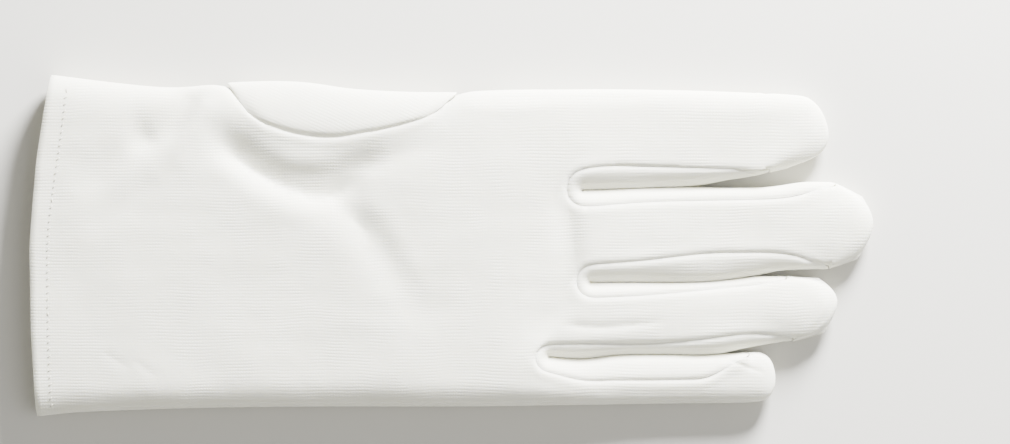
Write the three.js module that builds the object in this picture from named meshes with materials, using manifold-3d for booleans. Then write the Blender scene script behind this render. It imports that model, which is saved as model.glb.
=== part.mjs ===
// A white knitted dress glove for the left hand, lying palm up with its thumb folded flat beneath it.
// Millimetres. +X runs from the wrist to the fingertips, +Y points to the thumb side, +Z is up.
// The origin is on the floor under the middle of the glove.
import * as THREE from "three";
import Module from "manifold-3d";

// Driving sizes. "along" in a table is a share of LENGTH from the wrist edge, and every other column
// is a share of WIDTH from the middle line of the hand.
const LENGTH = 267.5;
const WIDTH = 100;
const WALL = 1.2;
const HEM_WALL = 1.0;
const HEM_DEPTH = 6.3;
const HEM_EASE = 0.3;
const GAP = 0.3;
const HAND_ROUND = 9;
const FINGER_ROUND = 6.6;
const BACK_SEAM_DEPTH = 4.4;
// Towards a fingertip each strip between the fingers narrows over this length to these depths, the
// first on the palm and the second on the back.
const STRIP_TAPER = 14;
const STRIP_END_DEPTH = 1.2;
const STRIP_END_BACK = 3.0;
const SIDE_SEAM_ANGLE = 0.42;
const THUMB_HEIGHT = 3.6;
const LIFT_REACH = 14;
const GAP_RADIUS = 0.25;

// Counts of the mesh: columns across each finger, rows of the parts of a finger and of the hand.
const COLUMNS = [6, 4, 4, 6];
const FAN_ROWS = 3;
const FINGER_ROWS = 12;
const HAND_ROWS = [7, 10, 5];
const TIP_ANGLES = [90, 55, 27];

const EDGE = WALL / 2;
const BEND = Math.PI / 2;

// Height of the upper side of the lying glove.
const TOP = [
  { along: 0.0, height: 12.2 },
  { along: 0.22, height: 12.4 },
  { along: 0.55, height: 12.4 },
  { along: 0.7, height: 10.0 },
  { along: 0.85, height: 8.8 },
  { along: 1.0, height: 7.8 },
];

// The wrist edge bows a little; "along" is where it lies at each place across.
const CUFF = [
  { across: -0.542, along: 0.007 },
  { across: -0.2, along: 0.0 },
  { across: 0.152, along: 0.001 },
  { across: 0.414, along: 0.016 },
  { across: 0.55, along: 0.023 },
];

const LITTLE_SIDE = [
  { along: 0.007, across: -0.542 },
  { along: 0.066, across: -0.525 },
  { along: 0.27, across: -0.509 },
  { along: 0.53, across: -0.506 },
  { along: 0.672, across: -0.499 },
  { along: 0.844, across: -0.495 },
];

const INDEX_SIDE = [
  { along: 0.023, across: 0.55 },
  { along: 0.13, across: 0.515 },
  { along: 0.179, across: 0.509 },
  { along: 0.231, across: 0.526 },
  { along: 0.321, across: 0.528 },
  { along: 0.369, across: 0.507 },
  { along: 0.463, across: 0.494 },
  { along: 0.575, across: 0.504 },
  { along: 0.765, across: 0.502 },
  { along: 0.893, across: 0.489 },
];

// The thumb hole in the palm, an arc seam that starts and ends at the index side.
const THUMB_HOLE = [
  { along: 0.229, depth: 0.006 },
  { along: 0.247, depth: 0.088 },
  { along: 0.283, depth: 0.152 },
  { along: 0.338, depth: 0.176 },
  { along: 0.398, depth: 0.138 },
  { along: 0.451, depth: 0.097 },
  { along: 0.485, depth: 0.064 },
  { along: 0.506, depth: 0.006 },
];
// The far side of the same hole, in the back of the hand close to the edge.
const THUMB_HOLE_BACK = [
  { along: 0.229, depth: 0.006 },
  { along: 0.25, depth: 0.05 },
  { along: 0.37, depth: 0.07 },
  { along: 0.485, depth: 0.05 },
  { along: 0.506, depth: 0.006 },
];

// The three gaps between the fingers, from the crotch outwards: the seam and the edge of the finger
// on the index side of the gap, then the edge and the seam of the finger on its little-finger side.
const GAPS = {
  index_middle: {
    crotch: { along: 0.651, across: 0.18, seam: 0.052 },
    rows: [
      { along: 0.653, upperSeam: 0.244, upperEdge: 0.183, lowerEdge: 0.178, lowerSeam: 0.13 },
      { along: 0.679, upperSeam: 0.253, upperEdge: 0.185, lowerEdge: 0.179, lowerSeam: 0.135 },
      { along: 0.72, upperSeam: 0.25, upperEdge: 0.19, lowerEdge: 0.183, lowerSeam: 0.144 },
      { along: 0.792, upperSeam: 0.246, upperEdge: 0.2, lowerEdge: 0.186, lowerSeam: 0.149 },
      { along: 0.829, upperSeam: 0.244, upperEdge: 0.215, lowerEdge: 0.188, lowerSeam: 0.151 },
      { along: 0.872, upperSeam: 0.258, upperEdge: 0.234, lowerEdge: 0.19, lowerSeam: 0.154 },
      { along: 0.915, upperSeam: 0.28, upperEdge: 0.268, lowerEdge: 0.208, lowerSeam: 0.164 },
      { along: 0.956, upperSeam: 0.3, upperEdge: 0.29, lowerEdge: 0.204, lowerSeam: 0.18 },
    ],
  },
  middle_ring: {
    crotch: { along: 0.661, across: -0.111, seam: 0.048 },
    rows: [
      { along: 0.663, upperSeam: -0.058, upperEdge: -0.1085, lowerEdge: -0.1135, lowerSeam: -0.158 },
      { along: 0.719, upperSeam: -0.047, upperEdge: -0.1085, lowerEdge: -0.1145, lowerSeam: -0.151 },
      { along: 0.794, upperSeam: -0.024, upperEdge: -0.1085, lowerEdge: -0.115, lowerSeam: -0.134 },
      { along: 0.829, upperSeam: -0.021, upperEdge: -0.098, lowerEdge: -0.108, lowerSeam: -0.124 },
      { along: 0.865, upperSeam: -0.021, upperEdge: -0.082, lowerEdge: -0.096, lowerSeam: -0.118 },
      { along: 0.915, upperSeam: -0.027, upperEdge: -0.07, lowerEdge: -0.09, lowerSeam: -0.114 },
      { along: 0.945, upperSeam: -0.046, upperEdge: -0.071, lowerEdge: -0.1, lowerSeam: -0.116 },
    ],
  },
  ring_little: {
    crotch: { along: 0.612, across: -0.3465, seam: 0.047 },
    rows: [
      { along: 0.614, upperSeam: -0.31, upperEdge: -0.344, lowerEdge: -0.349, lowerSeam: -0.393 },
      { along: 0.653, upperSeam: -0.308, upperEdge: -0.351, lowerEdge: -0.357, lowerSeam: -0.42 },
      { along: 0.689, upperSeam: -0.308, upperEdge: -0.337, lowerEdge: -0.343, lowerSeam: -0.418 },
      { along: 0.749, upperSeam: -0.306, upperEdge: -0.336, lowerEdge: -0.342, lowerSeam: -0.418 },
      { along: 0.803, upperSeam: -0.292, upperEdge: -0.338, lowerEdge: -0.345, lowerSeam: -0.41 },
      { along: 0.844, upperSeam: -0.277, upperEdge: -0.322, lowerEdge: -0.333, lowerSeam: -0.378 },
      { along: 0.885, upperSeam: -0.27, upperEdge: -0.299, lowerEdge: -0.33, lowerSeam: -0.36 },
      { along: 0.904, upperSeam: -0.276, upperEdge: -0.3, lowerEdge: -0.33, lowerSeam: -0.36 },
    ],
  },
};

// The four fingers: the gap on each side, where the tip starts on each side, and the tip's outline
// from the little-finger side to the index side.
const FINGERS = [
  {
    name: "little",
    lower: null,
    upper: "ring_little",
    lowerShoulder: 0.844,
    upperShoulder: 0.848,
    tip: [
      { along: 0.869, across: -0.486 },
      { along: 0.879, across: -0.455 },
      { along: 0.881, across: -0.415 },
      { along: 0.878, across: -0.368 },
      { along: 0.867, across: -0.336 },
    ],
  },
  {
    name: "ring",
    lower: "ring_little",
    upper: "middle_ring",
    lowerShoulder: 0.9,
    upperShoulder: 0.892,
    tip: [
      { along: 0.93, across: -0.286 },
      { along: 0.948, across: -0.255 },
      { along: 0.958, across: -0.195 },
      { along: 0.955, across: -0.138 },
      { along: 0.943, across: -0.106 },
      { along: 0.921, across: -0.094 },
    ],
  },
  {
    name: "middle",
    lower: "middle_ring",
    upper: "index_middle",
    lowerShoulder: 0.942,
    upperShoulder: 0.95,
    tip: [
      { along: 0.973, across: -0.051 },
      { along: 0.99, across: 0.008 },
      { along: 1.0, across: 0.068 },
      { along: 0.995, across: 0.126 },
      { along: 0.98, across: 0.17 },
    ],
  },
  {
    name: "index",
    lower: "index_middle",
    upper: null,
    lowerShoulder: 0.872,
    upperShoulder: 0.885,
    tip: [
      { along: 0.915, across: 0.268 },
      { along: 0.941, across: 0.304 },
      { along: 0.944, across: 0.365 },
      { along: 0.937, across: 0.428 },
      { along: 0.92, across: 0.476 },
    ],
  },
];

// The thumb, folded under the hand: its two sides from the index side of the hand to its round end.
const THUMB = [
  { leftAlong: 0.261, left: 0.434, rightAlong: 0.498, right: 0.416 },
  { leftAlong: 0.332, left: 0.27, rightAlong: 0.493, right: 0.33 },
  { leftAlong: 0.401, left: 0.113, rightAlong: 0.511, right: 0.23 },
  { leftAlong: 0.479, left: -0.074, rightAlong: 0.55, right: 0.116 },
];
const THUMB_COLUMNS = 10;
const THUMB_FLAT_ROWS = 6;
const THUMB_TOP_ROWS = 3;
const THUMB_ROLL_ANGLES = [30, 60, 90];
const THUMB_TIP_STEPS = [0.5, 0.8, 0.96];

// Pressed folds of the palm: a line through three places, how deep and how wide it is.
const FOLDS = [
  { from: [0.231, 0.34], over: [0.31, 0.212], to: [0.4, 0.27], depth: 1.3, width: 3.6 },
  { from: [0.345, 0.19], over: [0.4, 0.06], to: [0.46, -0.22], depth: 1.0, width: 4.2 },
  { from: [0.4, 0.27], over: [0.44, 0.3], to: [0.49, 0.33], depth: 0.7, width: 4.0 },
  { from: [0.19, 0.47], over: [0.165, 0.39], to: [0.08, 0.22], depth: 0.9, width: 4.5 },
  { from: [0.625, 0.2], over: [0.632, -0.04], to: [0.592, -0.27], depth: 0.8, width: 4.5 },
];

const xAt = (along) => (along - 0.5) * LENGTH;
const yAt = (across) => across * WIDTH;
const mix = (a, b, t) => a + (b - a) * t;
const clamp = (v, low, high) => Math.min(high, Math.max(low, v));
const smooth = (t) => t * t * (3 - 2 * t);

// A smooth curve through one column of a table, read at a value of its key column.
function readTable(table, key, column, at) {
  const last = table.length - 1;
  const rising = table[last][key] > table[0][key] ? 1 : -1;
  let i = 0;
  while (i < last - 1 && (at - table[i + 1][key]) * rising > 0) i += 1;
  const slope = (k) => {
    const a = table[Math.max(0, k - 1)];
    const b = table[Math.min(last, k + 1)];
    return (b[column] - a[column]) / (b[key] - a[key]);
  };
  const p = table[i];
  const q = table[i + 1];
  const span = q[key] - p[key];
  const t = clamp((at - p[key]) / span, 0, 1);
  const t2 = t * t;
  const t3 = t2 * t;
  return (
    (2 * t3 - 3 * t2 + 1) * p[column] +
    (t3 - 2 * t2 + t) * span * slope(i) +
    (3 * t2 - 2 * t3) * q[column] +
    (t3 - t2) * span * slope(i + 1)
  );
}

const alongOf = (x) => x / LENGTH + 0.5;
const cuffX = (y) => xAt(readTable(CUFF, "across", "along", y / WIDTH));
const littleSideY = (x) => yAt(readTable(LITTLE_SIDE, "along", "across", alongOf(x)));
const indexSideY = (x) => yAt(readTable(INDEX_SIDE, "along", "across", alongOf(x)));
const topHeight = (x) => readTable(TOP, "along", "height", clamp(alongOf(x), 0, 1)) - EDGE;
const middleHeight = (x) => (topHeight(x) + EDGE) / 2;
const rounding = (x) => mix(HAND_ROUND, FINGER_ROUND, smooth(clamp((x - 0) / 45, 0, 1)));

// The roll of the cloth at an edge: an angle of 0 is the edge itself and a quarter turn is the flat face.
const angleAtDepth = (depth, x) =>
  Math.acos(clamp((rounding(x) - depth) / (rounding(x) - EDGE), 0, 1));
const depthAtAngle = (angle, x) =>
  rounding(x) - (rounding(x) - EDGE) * Math.cos(angle);

function tableEdge(gap, column, along) {
  return yAt(readTable(GAPS[gap].rows, "along", column, along));
}

// The round end of a finger as a curve from its lower shoulder to its upper one.
function tipCurve(finger) {
  const start = {
    x: xAt(finger.lowerShoulder),
    y: finger.lower
      ? tableEdge(finger.lower, "upperEdge", finger.lowerShoulder)
      : littleSideY(xAt(finger.lowerShoulder)),
  };
  const end = {
    x: xAt(finger.upperShoulder),
    y: finger.upper
      ? tableEdge(finger.upper, "lowerEdge", finger.upperShoulder)
      : indexSideY(xAt(finger.upperShoulder)),
  };
  const points = [start, ...finger.tip.map((p) => ({ x: xAt(p.along), y: yAt(p.across) })), end];
  return new THREE.CatmullRomCurve3(
    points.map((p) => new THREE.Vector3(p.x, p.y, 0)),
    false,
    "centripetal",
  );
}

// The tip's columns stand closer to its two shoulders, where the outline bends most.
const tipShare = (share) => share - 0.05 * Math.sin(2 * Math.PI * share);

// One side of a finger: the edge and the seam at a share of its way from the crotch to the tip.
function fingerSide(finger, side) {
  const gap = side < 0 ? finger.lower : finger.upper;
  const shoulder = xAt(side < 0 ? finger.lowerShoulder : finger.upperShoulder);
  const edgeColumn = side < 0 ? "upperEdge" : "lowerEdge";
  const seamColumn = side < 0 ? "upperSeam" : "lowerSeam";
  if (!gap) {
    const sideY = side < 0 ? littleSideY : indexSideY;
    const startX = side < 0 ? 22 : 34;
    return (row) => {
      const x = mix(startX, shoulder, row / (FAN_ROWS + FINGER_ROWS));
      return { edge: { x, y: sideY(x) }, inward: { x: 0, y: -side }, seam: 0, back: 0, outer: true };
    };
  }
  const crotch = GAPS[gap].crotch;
  const startX = xAt(GAPS[gap].rows[0].along);
  const centre = { x: startX, y: yAt(crotch.across) };
  return (row) => {
    const x = mix(startX, shoulder, smooth(clamp((row - FAN_ROWS) / FINGER_ROWS, 0, 1)) * 0.35 +
      0.65 * clamp((row - FAN_ROWS) / FINGER_ROWS, 0, 1));
    const seam = Math.abs(tableEdge(gap, seamColumn, alongOf(x)) - tableEdge(gap, edgeColumn, alongOf(x)));
    const taper = smooth(clamp((shoulder - x) / STRIP_TAPER, 0, 1));
    if (row >= FAN_ROWS) {
      return {
        edge: { x, y: tableEdge(gap, edgeColumn, alongOf(x)) },
        inward: { x: 0, y: -side },
        seam: mix(STRIP_END_DEPTH, seam, taper),
        back: mix(STRIP_END_BACK, BACK_SEAM_DEPTH, taper),
        outer: false,
      };
    }
    const turn = (row / FAN_ROWS) * BEND;
    const inward = { x: -Math.cos(turn), y: -side * Math.sin(turn) };
    return {
      edge: { x: centre.x + inward.x * GAP_RADIUS, y: centre.y + inward.y * GAP_RADIUS },
      inward,
      seam: mix(yAt(crotch.seam), seam, smooth(row / FAN_ROWS)),
      back: BACK_SEAM_DEPTH,
      outer: false,
    };
  };
}

const LAST_ROW = FAN_ROWS + FINGER_ROWS;
const fingers = FINGERS.map((finger) => ({
  ...finger,
  low: fingerSide(finger, -1),
  high: fingerSide(finger, 1),
  curve: tipCurve(finger),
}));

// The outline of the whole glove except its wrist edge, used for the distance from the edge.
const outline = [];
for (let i = 0; i <= 60; i += 1) {
  const x = mix(-136, xAt(FINGERS[0].lowerShoulder), i / 60);
  outline.push({ x, y: littleSideY(x) });
}
fingers.forEach((finger, k) => {
  if (k > 0) for (let r = 0; r <= LAST_ROW; r += 1) outline.push(finger.low(r).edge);
  for (let i = 1; i < 24; i += 1) {
    const p = finger.curve.getPoint(i / 24);
    outline.push({ x: p.x, y: p.y });
  }
  if (k < 3) for (let r = LAST_ROW; r >= 0; r -= 1) outline.push(finger.high(r).edge);
});
for (let i = 0; i <= 80; i += 1) {
  const x = mix(xAt(FINGERS[3].upperShoulder), -136, i / 80);
  outline.push({ x, y: indexSideY(x) });
}

function distanceToLine(p, line) {
  let best = Infinity;
  for (let i = 0; i + 1 < line.length; i += 1) {
    const a = line[i];
    const b = line[i + 1];
    const dx = b.x - a.x;
    const dy = b.y - a.y;
    const size = dx * dx + dy * dy;
    const t = size > 0 ? clamp(((p.x - a.x) * dx + (p.y - a.y) * dy) / size, 0, 1) : 0;
    best = Math.min(best, Math.hypot(p.x - a.x - dx * t, p.y - a.y - dy * t));
  }
  return best;
}

// The plan of the folded thumb as a closed line.
function thumbSides(t) {
  const at = clamp(t, 0, 1) * (THUMB.length - 1);
  const rows = THUMB.map((row, i) => ({ ...row, i }));
  return {
    left: {
      x: xAt(readTable(rows, "i", "leftAlong", at)),
      y: yAt(readTable(rows, "i", "left", at)),
    },
    right: {
      x: xAt(readTable(rows, "i", "rightAlong", at)),
      y: yAt(readTable(rows, "i", "right", at)),
    },
  };
}
const thumbEnd = thumbSides(1);
const thumbEndCentre = {
  x: (thumbEnd.left.x + thumbEnd.right.x) / 2,
  y: (thumbEnd.left.y + thumbEnd.right.y) / 2,
};
const thumbEndRadius =
  Math.hypot(thumbEnd.left.x - thumbEnd.right.x, thumbEnd.left.y - thumbEnd.right.y) / 2;
const thumbDirection = {
  x: (thumbEnd.right.y - thumbEnd.left.y) / (2 * thumbEndRadius),
  y: -(thumbEnd.right.x - thumbEnd.left.x) / (2 * thumbEndRadius),
};
const HOLE_START = xAt(THUMB_HOLE[0].along);
const HOLE_END = xAt(THUMB_HOLE[THUMB_HOLE.length - 1].along);
const thumbPlan = [];
thumbPlan.push({ x: HOLE_START, y: indexSideY(HOLE_START) });
for (let i = 0; i <= 6; i += 1) thumbPlan.push(thumbSides(i / 6).left);
for (let i = 1; i < 8; i += 1) {
  const turn = (i / 8) * Math.PI;
  const across = -Math.cos(turn) * thumbEndRadius;
  const out = Math.sin(turn) * thumbEndRadius;
  thumbPlan.push({
    x: thumbEndCentre.x - thumbDirection.y * across + thumbDirection.x * out,
    y: thumbEndCentre.y + thumbDirection.x * across + thumbDirection.y * out,
  });
}
for (let i = 6; i >= 0; i -= 1) thumbPlan.push(thumbSides(i / 6).right);
thumbPlan.push({ x: HOLE_END, y: indexSideY(HOLE_END) });
thumbPlan.push(thumbPlan[0]);

function insidePlan(p, plan) {
  let inside = false;
  for (let i = 0, j = plan.length - 1; i < plan.length; j = i, i += 1) {
    const a = plan[i];
    const b = plan[j];
    if (a.y > p.y !== b.y > p.y && p.x < ((b.x - a.x) * (p.y - a.y)) / (b.y - a.y) + a.x) {
      inside = !inside;
    }
  }
  return inside;
}

// How far the back of the hand is lifted by the thumb that lies under it.
function liftAt(p) {
  const full = THUMB_HEIGHT + GAP;
  if (insidePlan(p, thumbPlan)) return full;
  const away = distanceToLine(p, thumbPlan);
  return full * (1 - smooth(clamp((away - 2) / LIFT_REACH, 0, 1)));
}

const foldLines = FOLDS.map((fold) => {
  const points = [fold.from, fold.over, fold.to].map(
    ([along, across]) => new THREE.Vector3(xAt(along), yAt(across), 0),
  );
  return { ...fold, line: new THREE.CatmullRomCurve3(points).getPoints(12) };
});
function foldDepth(p) {
  let depth = 0;
  for (const fold of foldLines) {
    const away = distanceToLine(p, fold.line) / fold.width;
    depth += fold.depth * Math.exp(-away * away);
  }
  return Math.min(depth, 1.6);
}

// Height of the middle of the cloth at a plan point and a roll angle: above zero on the palm side.
function heightAt(x, y, angle) {
  const middle = middleHeight(x);
  if (angle >= 0) {
    const top = topHeight(x) - foldDepth({ x, y });
    return middle + (top - middle) * Math.sin(angle);
  }
  const bottom = EDGE + liftAt({ x, y });
  return middle + (middle - bottom) * Math.sin(angle);
}

// A point of the panel on one face (+1 palm, -1 back) whose roll follows from its distance to the edge.
function facePoint(x, y, face) {
  const angle = angleAtDepth(distanceToLine({ x, y }, outline), x);
  return { x, y, z: heightAt(x, y, face * angle) };
}

// Points across a side strip, from an inner point over the flat face and down the roll of the edge.
function rollAcross(inner, edge, face, endAngle, count) {
  const width = Math.hypot(inner.x - edge.x, inner.y - edge.y);
  const round = rounding(edge.x);
  const height = middleHeight(edge.x) - EDGE;
  const fine = [];
  const steps = 60;
  for (let i = 0; i <= steps; i += 1) {
    const depth = mix(width, round, i / steps);
    fine.push({ depth, angle: face * BEND });
  }
  for (let i = 1; i <= steps; i += 1) {
    const angle = mix(face * BEND, endAngle, i / steps);
    fine.push({ depth: depthAtAngle(Math.abs(angle), edge.x), angle });
  }
  const lengths = [0];
  for (let i = 1; i < fine.length; i += 1) {
    const rise = height * (Math.sin(fine[i].angle) - Math.sin(fine[i - 1].angle));
    lengths.push(lengths[i - 1] + Math.hypot(fine[i].depth - fine[i - 1].depth, rise));
  }
  const total = lengths[lengths.length - 1];
  const points = [];
  for (let c = 0; c <= count; c += 1) {
    const share = 1 - (1 - c / count) ** 1.25;
    let i = 0;
    while (i < fine.length - 1 && lengths[i] < share * total) i += 1;
    const x = mix(edge.x, inner.x, fine[i].depth / width);
    const y = mix(edge.y, inner.y, fine[i].depth / width);
    points.push({ x, y, z: heightAt(x, y, fine[i].angle) });
  }
  points[count].normal = rollNormal({ x: edge.x - inner.x, y: edge.y - inner.y }, endAngle, edge.x);
  return points;
}

// The outward direction of the cloth at a place in the roll of an edge.
function rollNormal(outward, angle, x) {
  const size = Math.hypot(outward.x, outward.y);
  const height = middleHeight(x) - EDGE;
  const side = (height * Math.cos(angle)) / size;
  return new THREE.Vector3(
    outward.x * side,
    outward.y * side,
    (rounding(x) - EDGE) * Math.sin(angle),
  );
}

// A sheet is a list of points and quads; points at the same place are one point.
function newSheet() {
  return { points: [], quads: [], keys: new Map(), normals: new Map() };
}
function addPoint(sheet, p) {
  const key = [p.x, p.y, p.z].map((v) => Math.round(v * 200)).join();
  if (!sheet.keys.has(key)) {
    sheet.keys.set(key, sheet.points.length);
    sheet.points.push(new THREE.Vector3(p.x, p.y, p.z));
  }
  if (p.normal) sheet.normals.set(sheet.keys.get(key), p.normal);
  return sheet.keys.get(key);
}
function addGrid(sheet, rows, flip) {
  const ids = rows.map((row) => row.map((p) => addPoint(sheet, p)));
  for (let r = 0; r + 1 < ids.length; r += 1) {
    for (let c = 0; c + 1 < ids[r].length; c += 1) {
      const quad = [ids[r][c], ids[r + 1][c], ids[r + 1][c + 1], ids[r][c + 1]];
      if (flip) quad.reverse();
      sheet.quads.push(quad);
    }
  }
}

// Cloth of an even thickness on both sides of a sheet, closed along its borders.
function thicken(sheet, thickness) {
  const count = sheet.points.length;
  const normals = sheet.points.map(() => new THREE.Vector3());
  const faces = [];
  for (const quad of sheet.quads) {
    const corners = quad.filter((id, i) => id !== quad[(i + 1) % 4]);
    if (corners.length < 3) continue;
    const p = corners.map((id) => sheet.points[id]);
    const normal = p[2].clone().sub(p[0]);
    normal.cross((p[3] || p[2]).clone().sub(p[1]));
    if (corners.length === 3) {
      normal.copy(p[1].clone().sub(p[0]).cross(p[2].clone().sub(p[0])));
    }
    corners.forEach((id) => normals[id].add(normal));
    faces.push(corners);
  }
  for (const [id, normal] of sheet.normals) normals[id].copy(normal);
  const position = [];
  for (const side of [0.5, -0.5]) {
    sheet.points.forEach((p, i) => {
      const n = normals[i].clone().normalize();
      position.push(...p.clone().addScaledVector(n, side * thickness).toArray());
    });
  }
  const index = [];
  const addFace = (ids) => {
    for (let i = 1; i + 1 < ids.length; i += 1) index.push(ids[0], ids[i], ids[i + 1]);
  };
  const edges = new Map();
  for (const ids of faces) {
    addFace(ids);
    addFace(ids.map((id) => id + count).reverse());
    ids.forEach((a, i) => {
      const b = ids[(i + 1) % ids.length];
      if (edges.has(`${b},${a}`)) edges.delete(`${b},${a}`);
      else edges.set(`${a},${b}`, [a, b]);
    });
  }
  for (const [a, b] of edges.values()) addFace([b, a, a + count, b + count]);
  return { position, index };
}

// The palm or the back of the glove with its four fingers, as one sheet.
function panelSheet(face) {
  const sheet = newSheet();
  const holeTable = face > 0 ? THUMB_HOLE : THUMB_HOLE_BACK;
  const split = (GAP * 0.6) / (topHeight(60) / 2);
  const sideSeam = SIDE_SEAM_ANGLE - (face < 0 ? GAP / 4 : 0);
  const indexSplit = face * split;
  const seamOf = (place) => {
    const depth = (face > 0 ? place.seam : place.back) + GAP * 0.8;
    return { x: place.edge.x + place.inward.x * depth, y: place.edge.y + place.inward.y * depth };
  };
  const crotches = [1, 2, 3].map((k) => seamOf(fingers[k].low(0)));
  const shares = [];
  const ends = [0, (HOLE_START - cuffX(55)) / (34 - cuffX(55)), (HOLE_END - cuffX(55)) / (34 - cuffX(55)), 1];
  HAND_ROWS.forEach((count, part) => {
    for (let i = 0; i < count; i += 1) shares.push(mix(ends[part], ends[part + 1], i / count));
  });
  shares.push(1);
  // The hand, row by row from the wrist to the crotches.
  const handRows = shares.map((share) => {
    const low = { x: mix(cuffX(-54), 22, share) };
    low.y = littleSideY(low.x);
    const high = { x: mix(cuffX(55), 34, share) };
    high.y = indexSideY(high.x);
    const lines = crotches.map((crotch, k) => {
      const startY = mix(-54, 55, (k + 1) / 4);
      return { x: mix(cuffX(startY), crotch.x, share), y: mix(startY, crotch.y, share) };
    });
    const strips = [];
    strips.push(rollAcross(lines[0], low, face, sideSeam, COLUMNS[0]).reverse());
    for (let k = 0; k < 2; k += 1) {
      const strip = [];
      for (let c = 0; c <= COLUMNS[k + 1]; c += 1) {
        const x = mix(lines[k].x, lines[k + 1].x, c / COLUMNS[k + 1]);
        const y = mix(lines[k].y, lines[k + 1].y, c / COLUMNS[k + 1]);
        strip.push(facePoint(x, y, face));
      }
      strips.push(strip);
    }
    const inHole = high.x > HOLE_START + 0.01 && high.x < HOLE_END - 0.01;
    if (inHole) {
      const depth = yAt(readTable(holeTable, "along", "depth", alongOf(high.x)));
      const strip = [];
      for (let c = 0; c <= COLUMNS[3]; c += 1) {
        const end = { x: high.x, y: high.y - depth };
        const x = mix(lines[2].x, end.x, c / COLUMNS[3]);
        const y = mix(lines[2].y, end.y, c / COLUMNS[3]);
        strip.push(facePoint(x, y, face));
      }
      strips.push(strip);
    } else {
      strips.push(rollAcross(lines[2], high, face, indexSplit, COLUMNS[3]));
    }
    // The strips between them end at the very points where the side strips start.
    strips[1][0] = strips[0][COLUMNS[0]];
    strips[2][COLUMNS[2]] = strips[3][0];
    return strips;
  });
  for (let k = 0; k < 4; k += 1) {
    addGrid(sheet, handRows.map((strips) => strips[k]), face < 0);
  }
  // The fingers, row by row from the crotches to the tips.
  fingers.forEach((finger, k) => {
    const columns = COLUMNS[k];
    const rows = [handRows[handRows.length - 1][k]];
    for (let r = 1; r <= LAST_ROW; r += 1) {
      const low = finger.low(r);
      const high = finger.high(r);
      let row = [];
      if (low.outer) row = rollAcross(seamOf(high), low.edge, face, sideSeam, columns).reverse();
      else if (high.outer) row = rollAcross(seamOf(low), high.edge, face, indexSplit, columns);
      else {
        const a = seamOf(low);
        const b = seamOf(high);
        for (let c = 0; c <= columns; c += 1) {
          row.push(facePoint(mix(a.x, b.x, c / columns), mix(a.y, b.y, c / columns), face));
        }
      }
      rows.push(row);
    }
    // The round tip: the last row is moved on to the outline and rolls down to the edge.
    const base = rows[rows.length - 1];
    const middle = finger.curve.getPoint(0.5);
    const centre = {
      x: mix(finger.curve.getPoint(0).x, middle.x, 0.1),
      y: (finger.curve.getPoint(0).y + finger.curve.getPoint(1).y) / 2,
    };
    const inset = (p) => {
      const size = Math.hypot(centre.x - p.x, centre.y - p.y);
      return { x: p.x + ((centre.x - p.x) / size) * EDGE, y: p.y + ((centre.y - p.y) / size) * EDGE };
    };
    const lowOuter = finger.low(LAST_ROW).outer;
    const highOuter = finger.high(LAST_ROW).outer;
    const start = lowOuter ? 0.16 : 0;
    const end = highOuter ? 0.84 : 1;
    const reach = middle.x - base[Math.floor(columns / 2)].x;
    const depths = TIP_ANGLES.map((degrees) => depthAtAngle((degrees / 180) * Math.PI, middle.x));
    const steps = [...depths.map((d) => 1 - (d - EDGE) / (reach - EDGE)), 1];
    steps.forEach((step, s) => {
      const row = [];
      for (let c = 0; c <= columns; c += 1) {
        const share = mix(start, end, tipShare(c / columns));
        const lowEnd = c === 0 && lowOuter;
        const highEnd = c === columns && highOuter;
        const onEdge = step === 1 || lowEnd || highEnd;
        const along = lowEnd ? start * step : highEnd ? mix(1, end, step) : share;
        const rim = inset(finger.curve.getPoint(along));
        if (onEdge) {
          const blend = lowEnd ? smooth(1 - step) : 0;
          const atFourchette = (c === 0 && !lowOuter) || (c === columns && !highOuter);
          const angle = mix(face * split * (atFourchette ? 4 : 2), sideSeam, blend);
          const normal = rollNormal({ x: rim.x - centre.x, y: rim.y - centre.y }, angle, rim.x);
          row.push({ x: rim.x, y: rim.y, z: heightAt(rim.x, rim.y, angle), normal });
        } else {
          row.push(facePoint(mix(base[c].x, rim.x, step), mix(base[c].y, rim.y, step), face));
        }
      }
      rows.push(row);
    });
    addGrid(sheet, rows, face < 0);
  });
  return sheet;
}

// A strip that forms the facing sides of two fingers and runs round the crotch between them.
function fourchetteSheet(upperFinger, lowerFinger) {
  const sheet = newSheet();
  const places = [];
  for (let r = LAST_ROW; r >= 0; r -= 1) places.push(upperFinger.low(r));
  for (let r = 1; r <= LAST_ROW; r += 1) places.push(lowerFinger.high(r));
  const rows = places.map((place, i) => {
    const atEnd = i === 0 || i === places.length - 1;
    const pull = atEnd ? -GAP : 0;
    const palm = angleAtDepth(place.seam - GAP / 2, place.edge.x);
    const back = -angleAtDepth(place.back - GAP / 2, place.edge.x);
    const columns = 5;
    const row = [];
    for (let c = 0; c <= columns; c += 1) {
      const angle = mix(palm, back, c / columns);
      let depth = depthAtAngle(Math.abs(angle), place.edge.x);
      if (c === 0) depth = Math.max(depth, place.seam - GAP / 2);
      const x = place.edge.x + place.inward.x * depth + pull;
      const y = place.edge.y + place.inward.y * depth;
      // At its ends the strip takes the height of the palm that it is sewn to.
      const z = atEnd && c === 0
        ? facePoint(x, y, 1).z
        : heightAt(x, y, Math.sign(angle) * angleAtDepth(depth, x));
      row.push({ x, y, z });
    }
    return row;
  });
  addGrid(sheet, rows, false);
  return sheet;
}

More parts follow.
